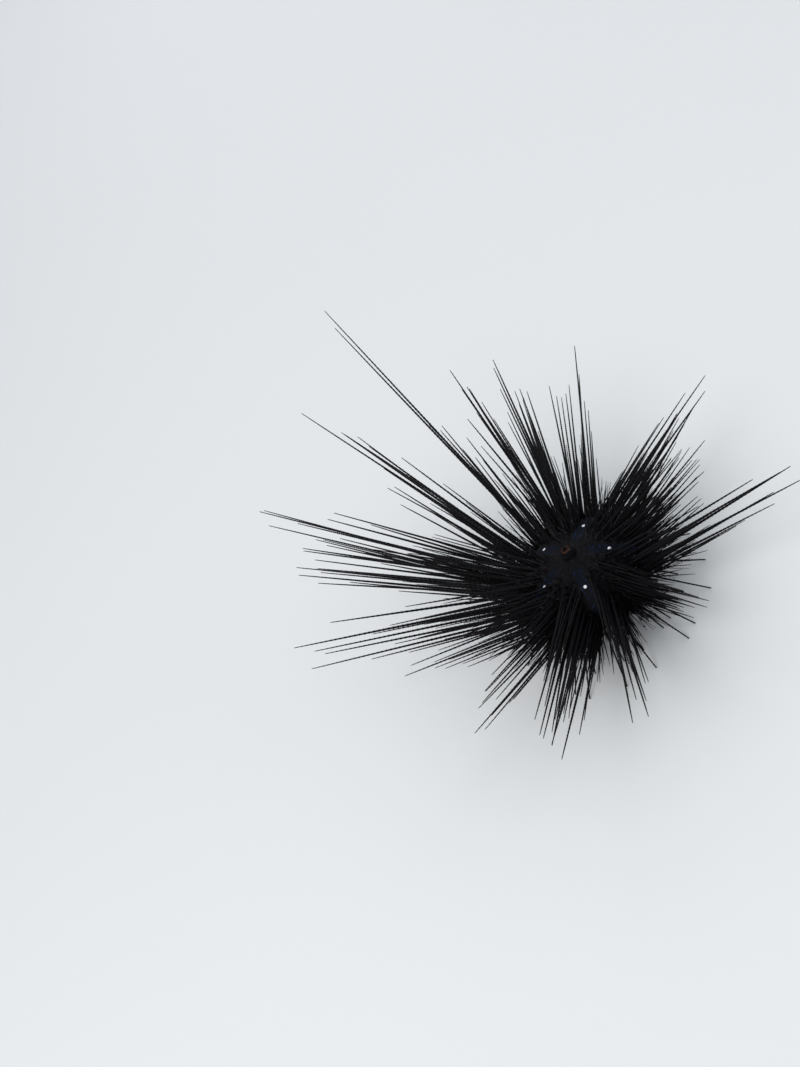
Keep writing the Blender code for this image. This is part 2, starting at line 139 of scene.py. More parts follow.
# Lights: name, place, diameter, the setting that holds the power, and colour
LIGHTS = (
    ("key_light", (-0.75, -0.55, 1.35), 1.1, "key_power", (1.0, 0.99, 0.97)),
    ("fill_light", (1.0, -0.5, 0.9), 1.4, "fill_power", (0.93, 0.96, 1.0)),
    ("back_light", (0.3, 1.3, 0.9), 1.0, "fill_power", (0.95, 0.97, 1.0)),
)

# Colours of the even light from level, and from as high as the given part of the way up and above. Then how
# far the floor reaches.
SKY_LOW = (0.60, 0.63, 0.67)
SKY_HIGH = (0.95, 0.98, 1.0)
SKY_TOP = 0.5
FLOOR_REACH = 40.0

# The patch that each spine has on the bake map
PATCH = 0.003

# The mouth skin from its rim to the mouth: millimetres from the axis, and above the rim
MOUTH_OUTLINE = (
    (15.5, 0.8), (13.5, 1.1), (11.0, 1.1), (8.5, 0.7), (6.8, -0.4), (5.8, -1.1),
    (4.8, -1.3), (4.0, -0.7), (3.5, 0.6), (3.0, 2.1), (0.0, 2.3),
)

# Points of the skin's outline, how many to each side the mean that rounds it takes in, and those on the test
OUTLINE_POINTS = 2400
ROUNDING = 15
ON_TEST = slice(400, 2000)

# Shares of the skin's rows and how far along its outline they lie, closer together at the crown
ROW_SHARES = ((0.0, 0.30, 1.0), (0.0, 0.18, 1.0))

# The radius inside which the skin belongs to the vent's cone
INSIDE_RADIUS = 0.0062

# The bare bands: half their width, and the polar angle where they end
BARE_WIDTH = 0.0036
BARE_END = 66.0

# Relief of the skin: depth and half width of seams and of the sunk bands, depth of the plates' edges, height
# of the unevenness and of the mouth's wrinkles
SEAM_DEPTH, SEAM_WIDTH = 0.00028, 0.0007
BAND_DEPTH, BAND_WIDTH = 0.00045, 0.0030
PLATE_DEPTH = 0.00010
UNEVENNESS = 0.00004
WRINKLE_DEPTH = 0.00013

# How deep a small spine and a tube foot are rooted in the skin, and the length of a spine's fine rings
SUNK = 0.0008
FOOT_SUNK = 0.0006
RING_LENGTH = 0.0013

# Rings at the root of a long spine: height above the test, share of the radius, and depth of the milling
COLLAR = (
    (-0.0018, 0.80, 0.0), (0.0004, 0.95, 0.0), (0.0011, 1.45, 0.07),
    (0.0019, 1.55, 0.07), (0.0026, 1.20, 0.0), (0.0034, 1.02, 0.0),
)

# Lengths of long spines, and the share of the full radius that they have
SLIMNESS = ((0.02, 0.11), (0.52, 1.0))

# Polar angles, and the lengths there of middle, short and tiny spines and of tube feet
MIDDLE_LENGTHS = ((34, 55, 90, 124), (0.028, 0.046, 0.042, 0.018))
SHORT_LENGTHS = ((24, 40, 62, 95, 120, 148), (0.007, 0.014, 0.023, 0.027, 0.018, 0.009))
TINY_LENGTHS = ((11, 30, 60, 151), (0.0014, 0.0035, 0.0062, 0.0045))
FOOT_LENGTHS = ((24, 60, 100, 150), (0.005, 0.011, 0.015, 0.009))

# The polar angle that parts upper middle spines from lower ones
MIDDLE_SPLIT = 82.0

# Columns of tube feet in degrees off an ambulacrum's middle, and the feet in one
FOOT_COLUMNS = (-10.0, -8.0, 8.0, 10.0)
FEET_IN_COLUMN = 26

# Round the mouth: distances from the axis to teeth, gills and mouth feet, and their heights above its rim
TOOTH_RING, TOOTH_RISE = 0.0034, 0.0030
GILL_RING, GILL_RISE = 0.0152, 0.0010
MOUTH_FOOT_RING, MOUTH_FOOT_RISE = 0.0096, 0.0014
TOOTH_LENGTH, TOOTH_BEND, TOOTH_LIFT = 0.0075, 0.0006, -71.0

# A gill's fingers, in three tiers: degrees above the horizontal, and length
GILL_FINGERS = 9
GILL_TIERS = ((-30.0, 0.0034), (-52.0, 0.0042), (-70.0, 0.0036))

# A pincer's jaw: distance from its hinge, and radius
JAW = ((0.0, 0.00018), (0.00035, 0.00026), (0.0009, 0.00017), (0.0014, 0.00006))

# The angle at which the sectors repeat, and the one at which scattered places follow each other
FIFTH = 72.0
GOLDEN_ANGLE = 137.50776

# Marks of the skin: how far from the axis the white spots, the pores of the crown's plates, the plates'
# outer seam and the vent's ring lie, degrees off a midline where the plates meet, and how far off it the
# beads run
SPOT_RING = 0.023
PORE_RING = 0.0088
PLATE_RING = 0.0111
VENT_RING = 0.0021
PLATE_MEETING = 23.0
BEAD_LINE = 0.0021

# The seed of all random numbers, and the kinds of piece that draw them
SEED = 7
KINDS = ("places", "long", "short", "tiny", "tube_feet", "pincers", "gills", "middle")


def test_points(polar, azimuth):
    """Places on the spheroid: R sin p from the axis, and a rise or drop times cos p from the widest level."""
    p, a = np.radians(polar), np.radians(azimuth)
    height = np.where(p < math.pi / 2, CROWN_RISE, BASE_DROP)
    radius = TEST_RADIUS * np.sin(p)
    return np.stack((radius * np.cos(a), radius * np.sin(a), WIDEST_LEVEL + height * np.cos(p)), -1) + AXIS


def test_normals(polar, azimuth):
    """Outward normals of the spheroid, its gradient made a unit vector."""
    p, a = np.radians(polar), np.radians(azimuth)
    height = np.where(p < math.pi / 2, CROWN_RISE, BASE_DROP)
    out = np.sin(p) / TEST_RADIUS
    up = np.cos(p) / height
    return unit(np.stack((out * np.cos(a), out * np.sin(a), up), -1))


def aims(azimuth, lift):
    """Unit vectors at these azimuths, lifted so many degrees above the horizontal."""
    a, e = np.radians(azimuth), np.radians(lift)
    return np.stack((np.cos(e) * np.cos(a), np.cos(e) * np.sin(a), np.sin(e) * np.ones_like(a)), -1)


def unit(vectors):
    """The vectors divided by their lengths."""
    return vectors / np.linalg.norm(vectors, axis=-1, keepdims=True)


def draws(kind, number=0):
    """The seeded source of random numbers for one kind of piece: kinds lie 100 apart."""
    return np.random.default_rng(SEED + 100 * KINDS.index(kind) + number)


def shares(count, rings):
    """Even shares from 0 to 1, the same for every taper."""
    return np.tile(np.linspace(0, 1, rings), (count, 1))


def sideways(ways, draw):
    """Random unit vectors square to the ways."""
    return unit(np.cross(ways, draw.normal(0, 1, ways.shape)))


def bent(lean, amount):
    """How far the middles of tubes stand off their straight ways: amount (n, m) towards lean (n, 3)."""
    return lean[:, None] * amount[..., None]


class Value:
    """A number socket. Python's operators on it add Math nodes."""

    def __init__(self, nodes, socket):
        self.nodes = nodes
        self.socket = socket

    def __add__(self, other):
        return self.nodes.math("ADD", self, other)

    __radd__ = __add__

    def __sub__(self, other):
        return self.nodes.math("SUBTRACT", self, other)

    def __rsub__(self, other):
        return self.nodes.math("SUBTRACT", other, self)

    def __mul__(self, other):
        return self.nodes.math("MULTIPLY", self, other)

    __rmul__ = __mul__

    def __pow__(self, other):
        return self.nodes.math("POWER", self, other)

    def __abs__(self):
        return self.nodes.math("ABSOLUTE", self)

    def step(self, low, high):
        """0 below low and 1 above high with a smooth rise between, or the reverse where high is the lower."""
        settings = {"interpolation_type": "SMOOTHSTEP"}
        inputs = {"Value": self, "From Min": min(low, high), "From Max": max(low, high)}
        inputs.update({"To Min": 0.0 if low < high else 1.0, "To Max": 1.0 if low < high else 0.0})
        return Value(self.nodes, self.nodes.node("ShaderNodeMapRange", settings, inputs).outputs["Result"])


class Nodes:
    """The nodes of a material or of the world."""

    def __init__(self, owner):
        owner.use_nodes = True
        self.owner = owner
        self.tree = owner.node_tree

    def node(self, kind, settings=None, inputs=None):
        """Adds a node: its settings first, then values or links for its sockets, by name or number."""
        made = self.tree.nodes.new(kind)
        for name, value in (settings or {}).items():
            setattr(made, name, value)
        for key, value in (inputs or {}).items():
            self.feed(made.inputs[key], value)
        return made

    def feed(self, socket, value):
        if isinstance(value, Value):
            value = value.socket
        if isinstance(value, bpy.types.NodeSocket):
            self.tree.links.new(value, socket)
        else:
            socket.default_value = value

    def math(self, operation, *values):
        made = self.node("ShaderNodeMath", {"operation": operation}, dict(enumerate(values)))
        return Value(self, made.outputs[0])

    def parts(self, vector):
        """The three numbers of a vector socket."""
        made = self.node("ShaderNodeSeparateXYZ", inputs={0: vector})
        return [Value(self, socket) for socket in made.outputs]

    def mix(self, first, second, share):
        """Blends colours or colour sockets: first where share is 0, second where it is 1."""
        made = self.node("ShaderNodeMix", {"data_type": "RGBA", "clamp_factor": True}, {0: share})
        for socket, colour in ((made.inputs[6], first), (made.inputs[7], second)):
            self.feed(socket, (*colour, 1.0) if isinstance(colour, tuple) else colour)
        return made.outputs[2]


class Finish(Nodes):
    """A procedural material: colour is what it has so far, and place its vector from the animal's axis."""

    def __init__(self, name, colour):
        super().__init__(bpy.data.materials.new(name))
        self.colour = colour
        self.shader = self.tree.nodes["Principled BSDF"]
        inputs = {0: self.node("ShaderNodeTexCoord").outputs["Object"], 1: tuple(AXIS)}
        self.place = self.node("ShaderNodeVectorMath", {"operation": "SUBTRACT"}, inputs).outputs[0]

    def attributes(self, *names):
        made = [self.node("ShaderNodeAttribute", {"attribute_name": name}) for name in names]
        return [Value(self, node.outputs["Fac"]) for node in made]

    def noise(self, size, detail=3.0, roughness=0.5):
        """Smooth noise from 0 to 1 whose blotches are about size across."""
        inputs = {"Vector": self.place, "Scale": 1.0 / size, "Detail": detail, "Roughness": roughness}
        return Value(self, self.node("ShaderNodeTexNoise", inputs=inputs).outputs[0])

    def cells(self, size):
        """Distance to the nearest of scattered points that lie about size apart."""
        made = self.node("ShaderNodeTexVoronoi", inputs={"Vector": self.place, "Scale": 1.0 / size})
        return Value(self, made.outputs["Distance"])

    def bump(self, height, depth, distance):
        made = self.node("ShaderNodeBump", inputs={"Strength": depth, "Distance": distance, "Height": height})
        self.feed(self.shader.inputs["Normal"], made.outputs[0])

    def paint(self, colour, share):
        """Lays a colour over what there is, by a share from 0 to 1."""
        self.colour = self.mix(self.colour, colour, share)

    def set(self, **values):
        """Feeds the shader its colour, and its other sockets by name: an underscore stands for a blank."""
        self.feed(self.shader.inputs["Base Color"], self.colour)
        for name, value in values.items():
            self.feed(self.shader.inputs[name.replace("_", " ")], value)
        return self.owner


def colours(palette, *names):
    """The named colours of the palette, as tuples."""
    return [tuple(getattr(palette, name)) for name in names]


def skin_finish(palette):
    """Black skin: bluish bare bands, white spots, a dull ring at the vent, brown round the mouth."""
    skin, warm, bare, bead, white = colours(palette, "skin", "skin_warm", "naked", "beads", "spots")
    speck, dull, brown, shade_in_grooves = colours(palette, "specks", "vent_ring", "mouth", "groove_shade")
    finish = Finish("urchin_skin", skin)
    x, y, z = finish.parts(finish.place)
    radius = finish.math("SQRT", x * x + y * y)
    angle = finish.math("ARCTAN2", y, x) * (180 / math.pi)
    turned = finish.math("FLOORED_MODULO", angle - SECTORS[0][1] + FIFTH / 2, FIFTH)
    sector = abs(turned - FIFTH / 2)
    off = radius * finish.math("SINE", sector * (math.pi / 180))
    blotch = finish.noise(0.006)
    fine = finish.noise(0.0009)
    aboral = z.step(0.036, 0.042)
    naked = aboral * (off + (blotch - 0.5) * 0.0016).step(BARE_WIDTH, 0.0022)
    naked = naked * radius.step(0.008, 0.013)
    finish.paint(warm, blotch.step(0.42, 0.66))
    finish.paint(bare, naked)

    along_edge = abs(off - BEAD_LINE).step(0.00035, 0.00015) * radius.step(0.010, 0.014)
    beads = finish.cells(0.0011).step(0.36, 0.20)
    beads = beads * along_edge * aboral
    finish.paint(bead, beads * 0.55)

    spot = finish.math("SQRT", (radius - SPOT_RING) ** 2.0 + off * off) + (fine - 0.5) * 0.0005
    spot = spot.step(0.00112, 0.00076) * aboral * (fine * 0.5 + 0.7)
    finish.paint(white, spot)

    cone = radius.step(0.0056, 0.0050) * z.step(CROWN_LEVEL - 0.001, CROWN_LEVEL)
    specks = finish.cells(0.0012).step(0.26, 0.16) * blotch.step(0.46, 0.56) * cone
    finish.paint(speck, specks * 0.35)
    ring = abs(radius - VENT_RING).step(0.00045, 0.00025)
    ring = ring * z.step(CONE_TOP - 0.0022, CONE_TOP - 0.0016)
    finish.paint(dull, ring * 0.8)

    mouth = z.step(0.0205, 0.0185) * radius.step(0.0172, 0.0160)
    finish.paint(finish.mix(brown, skin, fine.step(0.35, 0.75)), mouth)

    crown = z.step(CROWN_LEVEL - 0.004, CROWN_LEVEL - 0.003)
    on_plates = crown * radius.step(0.0054, 0.0060) * radius.step(0.0114, 0.0110)
    plate_edge = abs(radius * finish.math("SINE", (sector - PLATE_MEETING) * (math.pi / 180)))
    plate_edge = plate_edge.step(0.00022, 0.00006) * on_plates
    plate_edge = plate_edge + abs(radius - PLATE_RING).step(0.00026, 0.00008) * crown
    pore = finish.math("SQRT", (radius - PORE_RING) ** 2.0 + off * off)
    pore = pore.step(0.00055, 0.00030) * crown
    # Painted shade: darker in the crown's plate seams and pores, which the bump below sinks
    finish.paint(shade_in_grooves, plate_edge * 0.5 + pore)
    folds = finish.noise(0.0016, 4.0, 0.65) * cone

    granules = 1.0 - finish.cells(0.0008)
    rough = finish.noise(0.002)
    height = granules * 0.5 + fine * 0.6 + folds * 3.0 - (plate_edge + pore) * 1.2
    finish.bump(height, 0.6, 0.0003)
    return finish.set(Roughness=rough * 0.25 + 0.45 - spot * 0.1, Specular_IOR_Level=0.06)


def spine_finish(palette, name, roughness):
    """Black spine: fine rings along it with painted shade in their grooves, a little lighter and browner to
    its tip, each with its own tone.
    """
    black, tip, sheen, shade_in_grooves = colours(palette, "spine", "spine_tip", "spine_sheen", "groove_shade")
    finish = Finish(name, black)
    along, tone, ringed = finish.attributes("along", "tone", "ringed")
    blotch = finish.noise(0.004)
    finish.paint(tip, along.step(0.35, 1.05) * 0.8)
    finish.paint(sheen, tone * 0.30 * blotch.step(0.35, 0.7))
    rings = finish.math("SINE", ringed * (2 * math.pi)) * 0.5 + 0.5
    # Painted shade: darker in the grooves between the fine rings, where the bump below sinks
    finish.paint(shade_in_grooves, (1.0 - rings) * 0.45)
    fibres = finish.noise(0.0006)
    finish.bump(fibres * 0.5 + rings * 0.5, 0.4, 0.00012)
    return finish.set(Roughness=roughness + fibres * 0.16, Specular_IOR_Level=0.07)


def soft_finish(palette, name, root, tip, roughness):
    """Soft dark flesh of tube feet, gills and stalks, paler towards its tip."""
    low, high, skin = colours(palette, root, tip, "skin")
    finish = Finish(name, low)
    along, tone = finish.attributes("along", "tone")
    fine = finish.noise(0.0008)
    finish.paint(high, along.step(0.55, 1.0))
    finish.paint(skin, fine * 0.4 + tone * 0.3)
    wrinkles = finish.math("SINE", along * 150.0) * 0.5 + 0.5
    finish.bump(fine * 0.6 + wrinkles * 0.4, 0.45, 0.0001)
    return finish.set(Roughness=roughness + fine * 0.12)


def tooth_finish(palette):
    """Ivory tooth, browned at its root."""
    ivory, browned = colours(palette, "tooth", "tooth_root")
    finish = Finish("urchin_teeth", browned)
    (along,) = finish.attributes("along")
    fine = finish.noise(0.0007)
    streaks = finish.noise(0.0018)
    finish.paint(ivory, along.step(0.1, 0.6))
    finish.paint(browned, streaks.step(0.5, 0.8) * 0.5)
    finish.bump(fine, 0.3, 0.0001)
    return finish.set(Roughness=fine * 0.15 + 0.28)


def floor_finish(palette):
    """Pale matt floor with the least unevenness."""
    pale, shade = colours(palette, "floor", "floor_shade")
    finish = Finish("studio_floor", pale)
    finish.paint(shade, finish.noise(0.6) * 0.5)
    finish.bump(finish.noise(0.002), 0.08, 0.0002)
    return finish.set(Roughness=0.75, Specular_IOR_Level=0.2)


def new_object(name, data):
    made = bpy.data.objects.new(name, data)
    bpy.context.scene.collection.objects.link(made)
    return made


def new_piece(name, points, faces, maps, values, material, slot, *nodes):
    """A mesh object at the origin.

    points is (n, 3). faces and maps are matching lists of arrays, of the corners' point numbers and of their
    places on the bake map. values holds one number a point for each named attribute.
    """
    mesh = bpy.data.meshes.new(name)
    loops = np.concatenate([f.ravel() for f in faces]).astype(np.int32)
    sizes = np.concatenate([np.full(len(f), f.shape[1], np.int32) for f in faces])
    mesh.vertices.add(len(points))
    mesh.vertices.foreach_set("co", np.asarray(points, np.float32).ravel())
    mesh.loops.add(len(loops))
    mesh.loops.foreach_set("vertex_index", loops)
    mesh.polygons.add(len(sizes))
    mesh.polygons.foreach_set("loop_start", np.concatenate(([0], np.cumsum(sizes)[:-1])).astype(np.int32))
    mesh.update(calc_edges=True)
    layer = mesh.uv_layers.new(name="OFBake")
    flat = np.concatenate([m.reshape(-1, 2) for m in maps]).astype(np.float32)
    layer.data.foreach_set("uv", flat.ravel())
    for key, numbers in values.items():
        attribute = mesh.attributes.new(key, "FLOAT", "POINT")
        attribute.data.foreach_set("value", np.asarray(numbers, np.float32).ravel())
    mesh.shade_smooth()
    mesh.materials.append(material)
    piece = new_object(name, mesh)
    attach(piece, "root")
    if nodes:
        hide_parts(*nodes)


def skin_profile():
    """The skin's outline from the vent over the test to the mouth, as radius and level at even steps.

    It joins a small pit, the cone's half ellipse, the test's spheroid and the mouth skin with its lip. A
    running mean along it rounds the joins.
    """
    seat = CROWN_LEVEL - 0.0027
    rise = CONE_TOP - seat
    lip = np.linspace(0.32, 1.30, 40)
    pit = np.stack((np.linspace(0.0, 0.0014, 12), np.full(12, CONE_TOP - 0.0017)), -1)
    cone = np.stack((CONE_RADIUS * np.sin(lip), seat + rise * np.cos(lip)), -1)
    polar = np.radians(np.linspace(8.6, 153.4, 300))
    height = np.where(polar < math.pi / 2, CROWN_RISE, BASE_DROP)
    test = np.stack((TEST_RADIUS * np.sin(polar), WIDEST_LEVEL + height * np.cos(polar)), -1)
    rim = test[-1, 1]
    mouth = np.array(MOUTH_OUTLINE) * 0.001 + (0.0, rim)
    outline = np.concatenate((pit, cone, test, mouth))
    walked = np.concatenate(([0], np.cumsum(np.linalg.norm(np.diff(outline, axis=0), axis=1))))
    even = np.linspace(0, walked[-1], OUTLINE_POINTS)
    dense = np.stack([np.interp(even, walked, outline[:, i]) for i in (0, 1)], -1)
    before = 2 * dense[:1] - dense[ROUNDING:0:-1]
    after = 2 * dense[-1:] - dense[-2:-ROUNDING - 2:-1]
    padded = np.concatenate((before, dense, after))
    window = np.ones(2 * ROUNDING + 1) / (2 * ROUNDING + 1)
    smooth = np.stack([np.convolve(padded[:, i], window, "valid") for i in (0, 1)], -1)
    smooth[[0, -1], 0] = 0.0
    return smooth


def profile_share(polar):
    """How far along the skin's outline, from 0 at the vent to 1 at the mouth, a polar angle lies.

    Angles under 15 count as 15, because the cone stands there.
    """
    radius, level = skin_profile()[ON_TEST].T
    walked = np.linspace(0, 1, OUTLINE_POINTS)[ON_TEST]
    angle = np.degrees(np.arctan2(radius, (level - WIDEST_LEVEL) * TEST_RADIUS / CROWN_RISE))
    first = np.searchsorted(angle, 15.0)
    return np.interp(polar, angle[first:], walked[first:])


def column_places(columns, draw):
    """Polar angle, degrees off the sector's middle and share of the reach for one side's long spines."""
    for at_crown, at_widest, first, last, count, share in columns:
        for i in range(count):
            polar = first + (last - first) * i / (count - 1) + draw.uniform(-PLACE_SPREAD, PLACE_SPREAD)
            off = np.interp(polar, (first, 90.0), (at_crown, at_widest))
            yield polar, off, share


def is_wide(sector):
    return sector[0].startswith("inter")


def bundled(polar, azimuth, bundle, times, loose):
    """The way from a place to a bundle's focus, mixed with the test's normal by loose.

    The focus lies beyond the bundle's tips, times its reach from the axis.
    """
    heading, lift, reach = bundle
    away = reach * times / math.cos(math.radians(lift))
    focus = AXIS + (0, 0, WIDEST_LEVEL) + aims(heading, lift) * away
    return unit(focus - test_points(polar, azimuth)) * (1 - loose) + test_normals(polar, azimuth) * loose


def long_spines(number, draw):
    """The long spines of one sector, as rows of polar angle, azimuth, heading, lift and reach."""
    _, middle, times, spread, bundles = SECTORS[number]
    columns = INTERAMBULACRUM_COLUMNS if is_wide(SECTORS[number]) else AMBULACRUM_COLUMNS
    rows = []
    for side, bundle in zip((-1, 1), bundles):
        for polar, off, share in column_places(columns, draw):
            x, y, z = bundled(polar, middle + side * off, bundle, times, LOOSENESS)
            heading = math.degrees(math.atan2(y, x)) + draw.normal(0, spread)
            lift = math.degrees(math.atan2(z, math.hypot(x, y))) + draw.normal(0, LIFT_SPREAD)
            span = bundle[2] * share * np.interp(polar, REACH_POLAR, REACH_SHARE)
            span *= draw.uniform(SHORTEST_SHARE, 1.0)
            rows.append((polar, middle + side * off, heading, lift, span))
    for owner, azimuth, polar, heading, lift, reach in LONGEST_SPINES:
        if owner == number:
            rows.append((polar, azimuth, heading, lift, reach))
    return np.array(rows)


def foot_spines(number, draw):
    """The short spines below that carry the body, as rows of polar angle, azimuth, heading and lift."""
    middle = SECTORS[number][1]
    fan = FOOT_FAN if is_wide(SECTORS[number]) else FOOT_FAN / 2
    rows = []
    for polar, lift in zip(FOOT_POLAR, FOOT_LIFT):
        for side in (-1, 1):
            heading = middle + side * fan * FOOT_SPLAY + draw.normal(0, FOOT_HEADING_SPREAD)
            rows.append((polar, middle + side * fan, heading, lift + draw.normal(0, FOOT_LIFT_SPREAD)))
    return np.array(rows)


def above_floor(polar, azimuth, ways, lengths, clearance=FLOOR_CLEARANCE):
    """Lengths cut down where a tip would come nearer to the floor than clearance."""
    room = (test_points(polar, azimuth)[:, 2] - clearance) / -np.minimum(ways[:, 2], -1e-6)
    return np.where(ways[:, 2] < 0, np.minimum(lengths, room), lengths)


def layout():
    """Every long and foot spine of every sector: dictionaries of arrays, in the sectors' order."""
    sectors = []
    for number in range(len(SECTORS)):
        draw = draws("places", number)
        long = long_spines(number, draw)
        feet = foot_spines(number, draw)
        polar, azimuth, heading, lift = np.concatenate((long[:, :4], feet)).T
        foot = np.repeat((False, True), (len(long), len(feet)))
        ways = aims(heading, lift)
        from_axis = TEST_RADIUS * np.sin(np.radians(long[:, 0]))
        reaching = (long[:, 4] - from_axis) / np.cos(np.radians(long[:, 3]))
        reaching = above_floor(polar[~foot], azimuth[~foot], ways[~foot], reaching)
        standing = (test_points(polar, azimuth)[foot, 2] - FOOT_TIP_LEVEL) / -ways[foot, 2]
        lengths = np.concatenate((reaching, standing))
        sectors.append({"polar": polar, "azimuth": azimuth, "ways": ways, "lengths": lengths, "foot": foot})
    return sectors


def tube_faces(levels, sides):
    """Quads along a tube and triangles to its two end points, and their corners' places on its own map.

    Its points go ring by ring, then come the first end and the last. levels holds the heights on the map of
    the first end, of the rings and of the last end.
    """
    rings = len(levels) - 2
    ring, side = np.meshgrid(np.arange(rings - 1), np.arange(sides), indexing="ij")
    after = (side + 1) % sides
    low, high = ring * sides, (ring + 1) * sides
    quads = np.stack((low + side, low + after, high + after, high + side), -1).reshape(-1, 4)
    quad_u = np.stack((side, side + 1, side + 1, side), -1).reshape(-1, 4) / sides
    quad_v = levels[np.stack((ring, ring, ring + 1, ring + 1), -1).reshape(-1, 4) + 1]
    k, after = side[0], after[0]
    end, last = np.full(sides, rings * sides), (rings - 1) * sides
    tips = np.concatenate((np.stack((end, after, k), -1), np.stack((last + k, last + after, end + 1), -1)))
    tip_u = np.concatenate((np.stack((k + 0.5, k + 1, k), -1), np.stack((k, k + 1, k + 0.5), -1))) / sides
    tip_v = np.repeat(levels[[[0, 1, 1], [-2, -2, -1]]], sides, axis=0)
    return [quads, tips], [np.stack((quad_u, quad_v), -1), np.stack((tip_u, tip_v), -1)]


def tubes(roots, ways, walked, radii, sides, sag=0.0, form=1.0):
    """Many tapers at once: their points, faces, places on the map, and the number of points in each.

    Point (n, m, k) = root n + way n times walked (n, m) + sag (n, m) + radius (n, m) times form (m, k) times
    the unit circle at angle k over sides, in the plane square to the way. Ends close in a point.
    """
    count, rings = walked.shape
    helper = np.where(np.abs(ways[:, 2:]) > 0.9, (1.0, 0.0, 0.0), (0.0, 0.0, 1.0))
    across = unit(np.cross(ways, helper))
    other = np.cross(ways, across)
    turn = 2 * math.pi * np.arange(sides) / sides
    circle = np.cos(turn)[:, None] * across[:, None] + np.sin(turn)[:, None] * other[:, None]
    middle = roots[:, None] + ways[:, None] * walked[..., None] + sag
    shaped = radii[..., None] * (form * np.ones((rings, sides)))
    ring_points = middle[:, :, None] + shaped[..., None] * circle[:, None]
    ends = np.stack((middle[:, 0] - ways * radii[:, :1] * 0.3, middle[:, -1] + ways * radii[:, -1:] * 0.8), 1)
    points = np.concatenate((ring_points.reshape(count, -1, 3), ends), 1)
    each = rings * sides + 2
    levels = np.concatenate(((0,), np.arange(rings) / (rings - 1) * 0.9 + 0.05, (1,)))
    faces, patches = tube_faces(levels, sides)
    start = (np.arange(count) * each)[:, None, None]
    faces = [(face[None] + start).reshape(-1, face.shape[1]) for face in faces]
    return points.reshape(-1, 3), faces, patches, each


class Bunch:
    """Collects tubes of several kinds for one mesh, with draw as their source of random numbers."""

    def __init__(self, draw=None):
        self.draw = draw
        self.points, self.faces, self.maps = [], ([], []), ([], [])
        self.values = {"along": [], "tone": [], "ringed": []}
        self.size = 0

    def add(self, polar, azimuth, ways, walked, radii, sides, sag=0.0, form=1.0, roots=None, tone=None):
        """Adds tubes at places on the test. Where roots are given, the places serve only the bake map."""
        roots = test_points(polar, azimuth) if roots is None else roots
        tone = self.draw.uniform(0, 1, len(ways)) if tone is None else tone
        points, faces, patches, each = tubes(roots, ways, walked, radii, sides, sag, form)
        places = map_places(polar, azimuth)[:, None, None]
        self.points.append(points)
        for kind in (0, 1):
            self.faces[kind].append(faces[kind] + self.size)
            spread = (places + (patches[kind][None] - 0.5) * PATCH).reshape(-1, faces[kind].shape[1], 2)
            self.maps[kind].append(np.clip(spread, 0.0, 1.0))
        per_point = np.concatenate((np.repeat(walked, sides, axis=1), walked[:, [0, -1]]), 1)
        self.values["along"].append((per_point / walked[:, -1:]).ravel())
        self.values["ringed"].append((per_point / RING_LENGTH).ravel())
        self.values["tone"].append(np.repeat(tone, each))
        self.size += len(points)

    def piece(self, name, material, slot, *nodes):
        faces = [np.concatenate(parts) for parts in self.faces]
        maps = [np.concatenate(parts) for parts in self.maps]
        values = {key: np.concatenate(parts) for key, parts in self.values.items()}
        new_piece(name, np.concatenate(self.points), faces, maps, values, material, slot, *nodes)


def map_places(polar, azimuth):
    """Where places on the test lie on the skin's own unwrap: azimuth across and the outline's length up."""
    polar, azimuth = np.broadcast_arrays(polar, azimuth)
    return np.stack((azimuth % 360.0 / 360.0, profile_share(polar)), -1)


def add_long_spines(bunch, spines, style, sides, spacing):
    """Long spines with a sunk root, a milled collar, and whorls of thorns all along, spacing apart.

    Along the shaft the radius is tip + (root - tip) (1 - t) to the power 0.7, made saw-toothed: each whorl
    starts thin and ends thick, and there every other side stands off as a thorn, turned by one side from
    whorl to whorl. Shorter spines are thinner.
    """
    draw, lengths = bunch.draw, spines["lengths"]
    whorls = np.maximum(8, (np.ceil(lengths / spacing / 8) * 8)).astype(int)
    base, collar, milling = np.array(COLLAR).T
    slim = np.interp(lengths, *SLIMNESS)
    thick = np.where(spines["foot"], style.foot_radius, style.root_radius * slim)
    ends = np.where(spines["foot"], style.foot_radius * 0.55, style.tip_radius * slim)
    for number in np.unique(whorls):
        chosen = whorls == number
        n = int(chosen.sum())
        length = lengths[chosen][:, None]
        share = (np.arange(number)[:, None] + np.array((0.0, 0.82))).ravel() / number
        shaft = base[-1] + 0.0004 + (length - base[-1] - 0.0004) * share
        walked = np.concatenate((np.tile(base, (n, 1)), shaft), 1)
        t = np.clip(walked / length, 0, 1)
        root = thick[chosen][:, None] * draw.uniform(0.86, 1.08, (n, 1))
        tip = ends[chosen][:, None]
        saw = np.concatenate((collar, np.tile((1 - style.barb_depth, 1.0), number)))
        radii = (tip + (root - tip) * (1 - t) ** 0.7) * saw
        side = np.arange(sides)
        thorns = (side + np.arange(number)[:, None]) % 2 * style.thorn
        shaft_form = np.stack((np.ones((number, sides)), 1 + thorns), 1).reshape(-1, sides)
        milled = 1 + np.where(side % 2, 1, -1) * milling[:, None]
        form = np.concatenate((milled, shaft_form))
        polar, azimuth, ways = (spines[key][chosen] for key in ("polar", "azimuth", "ways"))
        lean = sideways(ways, draw)
        sag = bent(lean, draw.uniform(0.2, 1.0, (n, 1)) * style.bow * length * t * t)
        bunch.add(polar, azimuth, ways, walked, radii, sides, sag, form)


def scattered(count, first, last, draw):
    """Polar angles and azimuths spread evenly over the test between two polar angles, by the golden angle."""
    i = np.arange(count) + 0.5
    p = np.radians((first, last))
    polar = np.degrees(np.arccos(np.cos(p[0]) + (np.cos(p[1]) - np.cos(p[0])) * i / count))
    azimuth = i * GOLDEN_ANGLE + draw.normal(0, 2.0, count)
    return polar + draw.normal(0, 1.0, count), azimuth % 360.0


